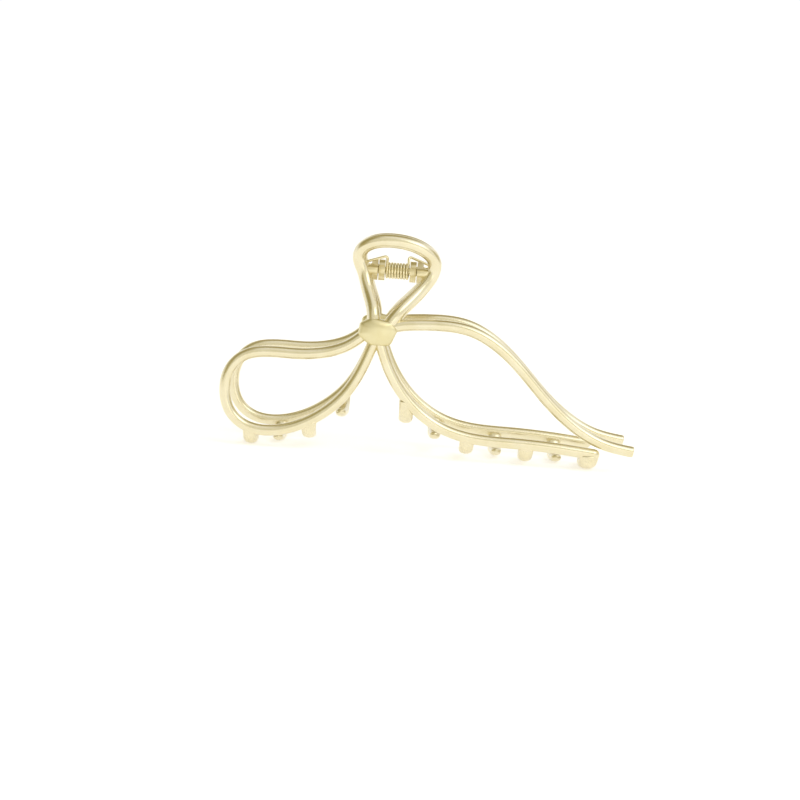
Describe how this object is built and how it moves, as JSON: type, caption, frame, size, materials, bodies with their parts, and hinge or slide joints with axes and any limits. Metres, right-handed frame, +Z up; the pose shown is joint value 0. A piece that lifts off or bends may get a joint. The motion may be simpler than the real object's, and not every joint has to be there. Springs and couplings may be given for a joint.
{
  "type": "hair claw clip",
  "caption": "Ribbon-bow hair claw of pale gold metal rod: two mirrored jaws with inward teeth and thumb loops, closed by a coil spring on a hinge pin.",
  "frame": {"origin": "middle of the closed claw's bounding box, on the floor that its teeth stand on", "axes": "+X along the hinge pin towards the open tails, +Y from the front jaw to the back jaw, +Z up from the teeth to the thumb loops"},
  "size_m": [0.1115, 0.0294, 0.0589],
  "materials": {
    "rod_gold": "satin polished, pale gold plated",
    "knot_gold": "satin brushed, pale gold plated",
    "tooth_gold": "satin polished, pale gold plated",
    "lug_gold": "satin, pale gold plated",
    "pin_gold": "polished, peened ends",
    "spring_gold": "drawn spring wire, gold plated"
  },
  "bodies": {
    "front_jaw": {"front_knot": "knot_gold", "front_handle_loop": "rod_gold", "front_left_loop": "rod_gold", "front_upper_tail": "rod_gold", "front_lower_tail": "rod_gold", "front_tooth_1": "tooth_gold", "front_tooth_2": "tooth_gold", "front_tooth_3": "tooth_gold", "front_tooth_4": "tooth_gold", "front_tooth_5": "tooth_gold", "front_tooth_6": "tooth_gold", "front_hinge_lug_left": "lug_gold", "front_hinge_lug_right": "lug_gold", "hinge_pin": "pin_gold", "torsion_spring": "spring_gold"},
    "back_jaw": {"back_knot": "knot_gold", "back_handle_loop": "rod_gold", "back_left_loop": "rod_gold", "back_upper_tail": "rod_gold", "back_lower_tail": "rod_gold", "back_tooth_1": "tooth_gold", "back_tooth_2": "tooth_gold", "back_tooth_3": "tooth_gold", "back_tooth_4": "tooth_gold", "back_tooth_5": "tooth_gold", "back_hinge_lug_left": "lug_gold", "back_hinge_lug_right": "lug_gold"}
  },
  "joints": [
    {"name": "jaw_hinge", "type": "hinge", "parent": "front_jaw", "child": "back_jaw", "pos_m": [-0.0109, 0, 0.049], "axis": [1, 0, 0], "range_deg": [0, 75], "stiffness_Nm_per_rad": 0.04, "springref_deg": -57.3, "deforming": ["torsion_spring"]}
  ]
}
